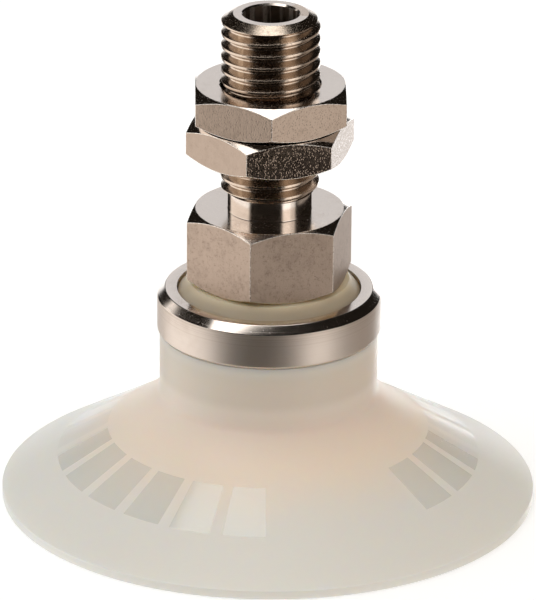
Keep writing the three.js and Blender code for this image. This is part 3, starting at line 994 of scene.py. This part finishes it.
class CUP_OT_inside(bpy.types.Operator):
    """Add the bush, the seal, the filter and its snap ring"""

    bl_idname = "suction_cup.inside"
    bl_label = "Inner pieces"

    def execute(self, context):
        s = context.scene.fitting_sizes
        outline = [(s.spigot + GAP, BUSH_BOTTOM), (BUSH_RADIUS, BUSH_BOTTOM), *bush_grooves()]
        outline += [(BUSH_RADIUS, BUSH_TOP), (s.spigot + GAP, BUSH_TOP)]
        bush = turned("neck_bush_turned", outline, 192)
        round_edges(bush, 0.08 * MM, steps=2)
        smooth(bush)
        coat(bush, brushed_metal("plated_brass_brushed"))
        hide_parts("neck_bush")

        low, high = bottom_of("seal_ring"), top_of("seal_ring")
        inner = s.spigot - SEAL_GROOVE + GAP / 2
        wide, tall, steps = (SEAL_RADIUS - inner) / 2, (high - low) / 2, 20
        turns = [2 * pi * i / steps for i in range(steps)]
        seal = turned(
            "seal_ring_moulded",
            [(inner + wide + wide * cos(a), (low + high) / 2 + tall * sin(a)) for a in turns],
            144,
        )
        smooth(seal)
        coat(seal, seal_rubber("seal_rubber"))
        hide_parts("seal_ring")

        low, high, edge = bottom_of("filter_disc"), top_of("filter_disc"), 0.1 * MM
        disc = turned(
            "filter_disc_sintered",
            [
                (FILTER_RADIUS - edge, low), (FILTER_RADIUS, low + edge),
                (FILTER_RADIUS, high - edge), (FILTER_RADIUS - edge, high),
            ],
            120, closed=False,
        )
        for i in range(7):
            reach = 0 if i == 6 else 1.25 * MM
            drill = turned("drill", [(0.4 * MM, low - 1 * MM), (0.4 * MM, high + 1 * MM)], 32, closed=False)
            pick(drill)
            bpy.ops.transform.translate(value=(reach * cos(i * pi / 3), reach * sin(i * pi / 3), 0))
            bpy.ops.object.transform_apply(location=True, rotation=False, scale=False)
            carve(disc, drill, "DIFFERENCE")
        smooth(disc)
        coat(disc, sintered_bronze("sintered_bronze"))
        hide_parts("filter_disc")

        low, high = bottom_of("filter_snap_ring"), top_of("filter_snap_ring")
        inner, outer = 2.35 * MM, radius_of("filter_snap_ring")
        ring = turned("snap_ring_sprung", [(inner, low), (outer, low), (outer, high), (inner, high)], 120)
        pick()
        opening = (2 * outer, 1.4 * MM, 1.8 * MM)
        bpy.ops.mesh.primitive_cube_add(size=1, location=(outer, 0, low), scale=opening)
        carve(ring, new_piece("slot"), "DIFFERENCE")
        round_edges(ring, 0.06 * MM, steps=2)
        smooth(ring)
        coat(ring, spring_steel("spring_steel"))
        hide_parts("filter_snap_ring")
        for piece in (bush, seal, disc, ring):
            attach(piece, "fitting")
        return {"FINISHED"}


class CUP_OT_stage(bpy.types.Operator):
    """Add the floor, the studio light and the camera"""

    bl_idname = "suction_cup.stage"
    bl_label = "Stage"

    def execute(self, context):
        s = context.scene.studio
        pick()
        bpy.ops.mesh.primitive_plane_add(size=4, location=(0, 0, -0.02 * MM))
        floor = new_piece("floor")
        floor.visible_diffuse = False
        floor.visible_glossy = False
        floor.visible_shadow = False
        coat(floor, floor_finish("floor_matt"))

        world = bpy.data.worlds.new("studio")
        context.scene.world = world
        world.use_nodes = True
        light_world(world, s)

        bpy.ops.object.camera_add()
        camera = context.object
        camera.name = "camera"
        camera.location = (0, -s.distance * cos(s.elevation), s.height + s.distance * sin(s.elevation))
        view = Euler((pi / 2 - s.elevation, 0, 0)).to_matrix() @ Matrix.Rotation(s.roll, 3, "Z")
        camera.rotation_euler = view.to_euler()
        camera.data.sensor_width = 36
        camera.data.lens = s.lens
        camera.data.shift_x = -0.0016
        camera.data.clip_start = 0.01
        context.scene.camera = camera
        context.scene.view_settings.view_transform = "Standard"
        return {"FINISHED"}


@finish
def floor_finish(n, put, where, looks, fx):
    """A pale matt floor that can't be seen from below, so its back is clear."""
    cloud = n.noise(where, 9.0, 2.0)
    put("Base Color", n.blend(n.times(cloud, 0.3), (0.97, 0.97, 0.97), (0.95, 0.95, 0.95)))
    put("Roughness", 0.9)
    put("Specular IOR Level", 0.0)
    put("Emission Color", (1.0, 1.0, 1.0, 1.0))
    put("Emission Strength", 0.22)
    tree = n.tree
    clear = tree.nodes.new("ShaderNodeBsdfTransparent")
    mix = tree.nodes.new("ShaderNodeMixShader")
    back = tree.nodes.new("ShaderNodeNewGeometry")
    tree.links.new(back.outputs["Backfacing"], mix.inputs[0])
    tree.links.new(tree.nodes["Principled BSDF"].outputs[0], mix.inputs[1])
    tree.links.new(clear.outputs[0], mix.inputs[2])
    tree.links.new(mix.outputs[0], tree.nodes["Material Output"].inputs["Surface"])


# Left, right, low and high edge and softness in degrees, from the front; then colour and strength.
CARDS = (
    ((-134, -57, -64, 27, 3), (1.0, 0.97, 0.94), 1.3),
    ((36, 60, -64, 27, 4), (1.0, 0.96, 0.92), 1.5),
    ((60, 74, -64, 27, 4), (1.0, 0.96, 0.92), 0.95),
    ((84, 146, -60, 2, 8), (1.0, 0.88, 0.78), 0.34),
    ((144, 180.5, -60, 2, 5), (0.97, 1.0, 1.03), 1.25),
    ((-180.5, -152, -60, 2, 5), (0.98, 1.0, 1.02), 1.3),
    ((170, 181, 4, 34, 3), (0.98, 0.99, 1.02), 0.85),
    ((-181, -170, 4, 34, 3), (0.98, 0.99, 1.02), 0.85),
    ((155, 168, -60, 2, 3), (0.97, 1.0, 1.03), 2.2),
)


def light_world(world, s):
    """Soft cards round the piece, seen only in its reflections, and even light on matt surfaces."""
    tree = world.node_tree
    background = tree.nodes["Background"]
    n = Nodes(tree)
    parts = n.add("ShaderNodeSeparateXYZ", Vector=n.add("ShaderNodeTexCoord", "Generated")).node.outputs
    x, y, z = parts[0], parts[1], parts[2]
    azimuth = n.times(n.maths("ARCTAN2", x, n.times(y, -1.0)), 180 / pi)
    rise = n.times(n.maths("ARCSINE", z), 180 / pi)

    def card(left, right, low, high, soft):
        sides = n.ramp(azimuth, left - soft, left + soft)
        sides = n.times(sides, n.fade(azimuth, right - soft, right + soft))
        ends = n.times(n.ramp(rise, low - 4, low + 4), n.fade(rise, high - 4, high + 4))
        return n.times(sides, ends)

    def light(total, mask, colour, strength):
        lit = n.times(mask, strength)
        added = n.vector("SCALE", i0=colour, Scale=lit)
        if total is None:
            return added
        return n.vector("ADD", i0=total, i1=added)

    total = light(None, 1.0, (1.0, 0.82, 0.66), 0.012)
    for edges, colour_, strength in CARDS:
        total = light(total, card(*edges), colour_, strength)
    up = n.maths("MAXIMUM", z, 0.05)
    across, along = n.maths("DIVIDE", x, up), n.maths("DIVIDE", y, up)
    left_edge = n.minus(across, n.times(along, 1.2))
    right_edge = n.plus(across, n.times(along, 0.68))
    box_x = n.times(n.ramp(left_edge, -0.72, -0.60), n.fade(right_edge, 0.38, 0.50))
    front_edge = n.minus(along, n.times(across, 0.6))
    front = n.times(n.ramp(along, -0.405, -0.315), n.ramp(front_edge, -0.42, -0.17))
    box_y = n.times(front, n.fade(along, 0.24, 0.36))
    overhead = n.times(n.times(box_x, box_y), n.maths("GREATER_THAN", z, 0.0))
    total = light(total, overhead, (1.0, 0.99, 0.97), s.glow)

    path = n.add("ShaderNodeLightPath").node.outputs
    left_right = n.blend(n.ramp(x, -0.8, 0.8), (0.98, 1.02, 1.03), (0.92, 0.86, 0.79))
    even = n.vector("SCALE", i0=left_right, Scale=s.fill)
    soft_total = n.vector("SCALE", i0=total, Scale=0.55)
    matt = n.vector("ADD", i0=even, i1=soft_total)
    colour_ = n.blend(path["Is Glossy Ray"], matt, total)
    colour_ = n.blend(path["Is Camera Ray"], colour_, (1.0, 1.0, 1.0))
    tree.links.new(colour_, background.inputs["Color"])
    background.inputs["Strength"].default_value = 1.0
    world.cycles.sampling_method = "NONE"


class CUP_PT_panel(bpy.types.Panel):
    """Lists the steps and the sizes"""

    bl_label = "Suction cup"
    bl_idname = "CUP_PT_panel"
    bl_space_type = "VIEW_3D"
    bl_region_type = "UI"
    bl_category = "Suction cup"

    def draw(self, context):
        layout = self.layout
        for operator in OPERATORS:
            layout.operator(operator.bl_idname)
        for holder in GROUPS:
            box = layout.box()
            group = getattr(context.scene, holder)
            box.label(text=holder.replace("_", " ").capitalize())
            for name in group.bl_rna.properties.keys():
                if name not in ("rna_type", "name"):
                    box.prop(group, name)


GROUPS = {
    "bell_sizes": BellSizes, "fitting_sizes": FittingSizes,
    "cup_finishes": CupFinishes, "studio": StudioSettings,
}
OPERATORS = (CUP_OT_bell, CUP_OT_band, CUP_OT_fitting, CUP_OT_nuts, CUP_OT_inside, CUP_OT_stage)


def register():
    for name, group in GROUPS.items():
        bpy.utils.register_class(group)
        setattr(bpy.types.Scene, name, PointerProperty(type=group))
    for item in (*OPERATORS, CUP_PT_panel):
        bpy.utils.register_class(item)


def unregister():
    for item in reversed((*OPERATORS, CUP_PT_panel)):
        bpy.utils.unregister_class(item)
    for name, group in reversed(list(GROUPS.items())):
        delattr(bpy.types.Scene, name)
        bpy.utils.unregister_class(group)


def main():
    register()
    bpy.ops.suction_cup.stage()
    bpy.ops.suction_cup.bell()
    bpy.ops.suction_cup.band()
    bpy.ops.suction_cup.fitting()
    bpy.ops.suction_cup.nuts()
    bpy.ops.suction_cup.inside()


if __name__ == "__main__":
    main()
